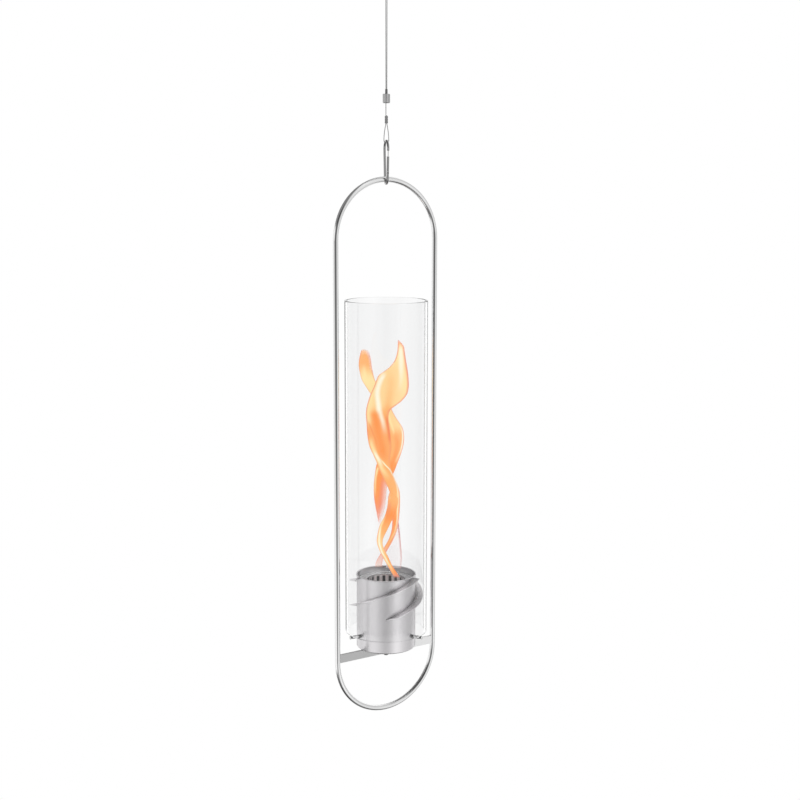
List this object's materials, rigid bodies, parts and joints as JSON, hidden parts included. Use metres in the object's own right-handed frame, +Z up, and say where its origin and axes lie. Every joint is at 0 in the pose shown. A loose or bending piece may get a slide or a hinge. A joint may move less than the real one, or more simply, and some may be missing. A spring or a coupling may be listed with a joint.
{
  "type": "hanging glass fire",
  "caption": "Slim fire hung from the ceiling on a wire: a tall oval rod frame carries a steel fuel burner with helical air vanes inside an open glass tube.",
  "frame": {"origin": "middle of the ceiling plate's upper face, which meets the ceiling; the fire hangs down from it", "axes": "+Z up along the wire and the glass tube; X across the oval frame from rail to rail; -Y is the side from which the picture was taken, with its camera turned towards -X"},
  "size_m": [0.177, 0.12, 1.0699],
  "materials": {
    "fitting_steel": "satin",
    "wire": "stranded",
    "ferrule": "pressed",
    "gripper": "nickel plated",
    "gripper_dark": "blackened",
    "spring_steel": "drawn wire",
    "hook_steel": "polished",
    "polished_steel": "polished",
    "brushed_steel": "brushed",
    "screw_steel": "plain",
    "shell_steel": "brushed",
    "vane_steel": "bright",
    "clear_glass": "clear",
    "can_steel": "bright",
    "crown_steel": "polished",
    "pad_fibre": "felted fibre"
  },
  "bodies": {
    "ceiling": {"ceiling_plate": "fitting_steel", "ceiling_hook": "fitting_steel"},
    "wire": {"wire_rope": "wire", "loop_ferrule": "ferrule", "gripper_body": "gripper", "gripper_end_cap": "gripper_dark", "gripper_spring": "spring_steel"},
    "plunger": {"gripper_plunger": "gripper_dark", "gripper_jaws": "gripper_dark"},
    "snap_hook": {"snap_hook_body": "hook_steel", "gate_pin": "hook_steel"},
    "gate": {"snap_hook_gate": "hook_steel", "gate_spring": "spring_steel"},
    "frame": {"ring_frame": "polished_steel", "crossbar": "brushed_steel", "mounting_screw": "screw_steel", "screw_washer": "screw_steel", "mounting_nut": "screw_steel", "burner_shell": "shell_steel", "air_vane_1": "vane_steel", "air_vane_2": "vane_steel", "air_vane_3": "vane_steel", "glass_pin_1": "polished_steel", "glass_pin_2": "polished_steel", "glass_pin_3": "polished_steel"},
    "glass": {"glass_cylinder": "clear_glass"},
    "can": {"fuel_can": "can_steel", "can_lid": "can_steel", "slotted_crown": "crown_steel", "absorbent_pad": "pad_fibre"}
  },
  "joints": [
    {"name": "wire_swing", "type": "hinge", "parent": "ceiling", "child": "wire", "pos_m": [0, 0, -0.03237], "axis": [0.6428, -0.766, 0], "range_deg": [-25, 25]},
    {"name": "plunger_press", "type": "slide", "parent": "wire", "child": "plunger", "axis": [0, 0, -1], "range_m": [0, 0.0012], "stiffness_N_per_m": 400, "springref_m": -0.003, "deforming": ["gripper_spring"]},
    {"name": "hook_swing", "type": "hinge", "parent": "wire", "child": "snap_hook", "pos_m": [0, 0, -0.23055], "axis": [0.342, 0.9397, 0], "range_deg": [-25, 25]},
    {"name": "gate_open", "type": "hinge", "parent": "snap_hook", "child": "gate", "pos_m": [-0.00291, -0.00798, -0.27566], "axis": [-0.9397, 0.342, 0], "range_deg": [0, 20], "stiffness_Nm_per_rad": 0.02, "springref_deg": -20.05},
    {"name": "frame_swing", "type": "hinge", "parent": "snap_hook", "child": "frame", "pos_m": [0, 0, -0.284], "axis": [1, 0, 0], "range_deg": [-25, 25]},
    {"name": "glass_lift", "type": "slide", "parent": "frame", "child": "glass", "axis": [0, 0, 1], "range_m": [0, 0.13]},
    {"name": "can_lift", "type": "slide", "parent": "frame", "child": "can", "axis": [0, 0, 1], "range_m": [0, 0.11]}
  ]
}
